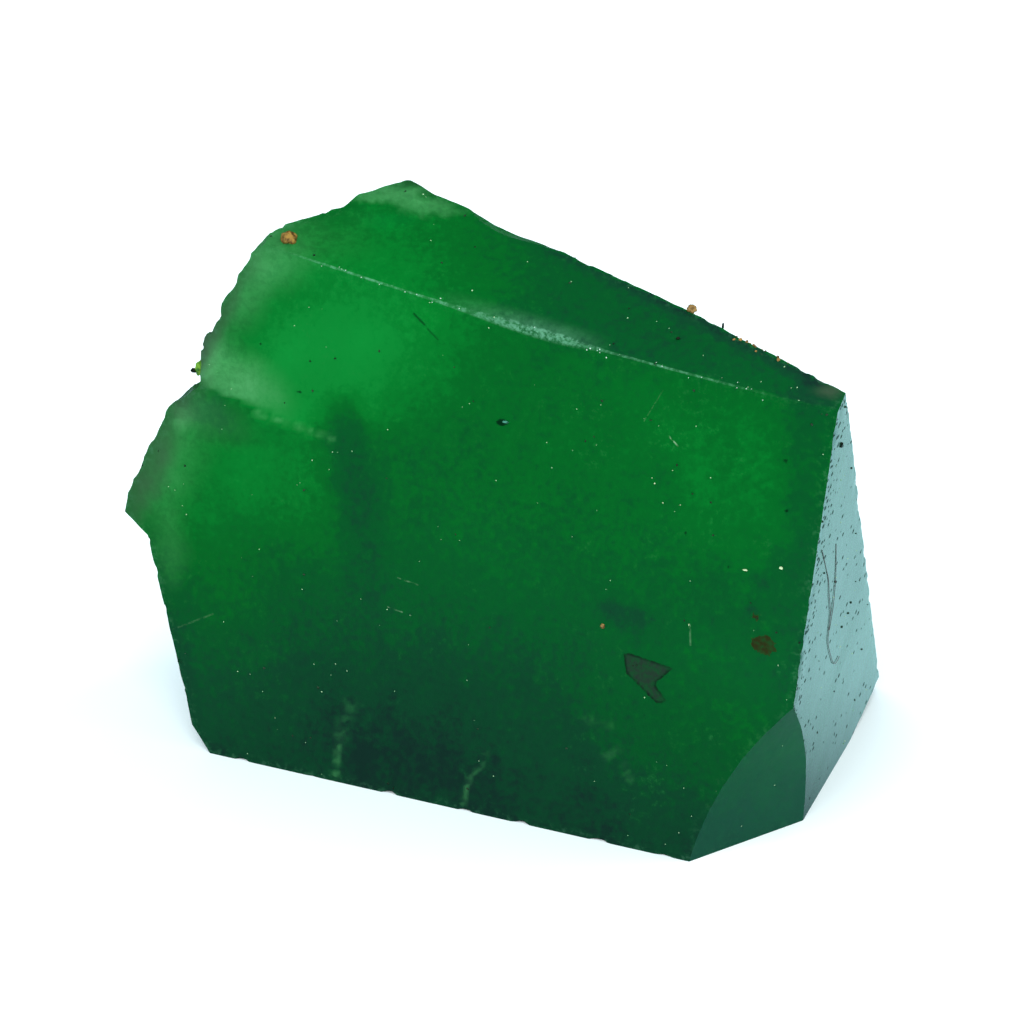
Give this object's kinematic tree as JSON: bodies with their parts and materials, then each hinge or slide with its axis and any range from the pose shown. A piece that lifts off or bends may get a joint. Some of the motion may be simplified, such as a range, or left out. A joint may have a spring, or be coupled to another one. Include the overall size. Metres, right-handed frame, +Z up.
{
  "type": "rough emerald crystal",
  "caption": "Rough translucent green emerald crystal: a broken prism with a worn ridge, a pitted flat end and shell-shaped breaks, standing on its flat base.",
  "frame": {"origin": "centre of the stone's footprint, on the surface it stands on", "axes": "+X along the worn ridge towards the pitted flat end, +Y into the stone from its broad front face, +Z up"},
  "size_m": [0.0294, 0.0172, 0.0229],
  "materials": {
    "green_beryl": "cloudy translucent green beryl with smooth prism faces, a frosted worn ridge, fine pits on the flat end and duller shell-shaped breaks"
  },
  "bodies": {
    "root": {"emerald_crystal": "green_beryl"}
  },
  "joints": []
}
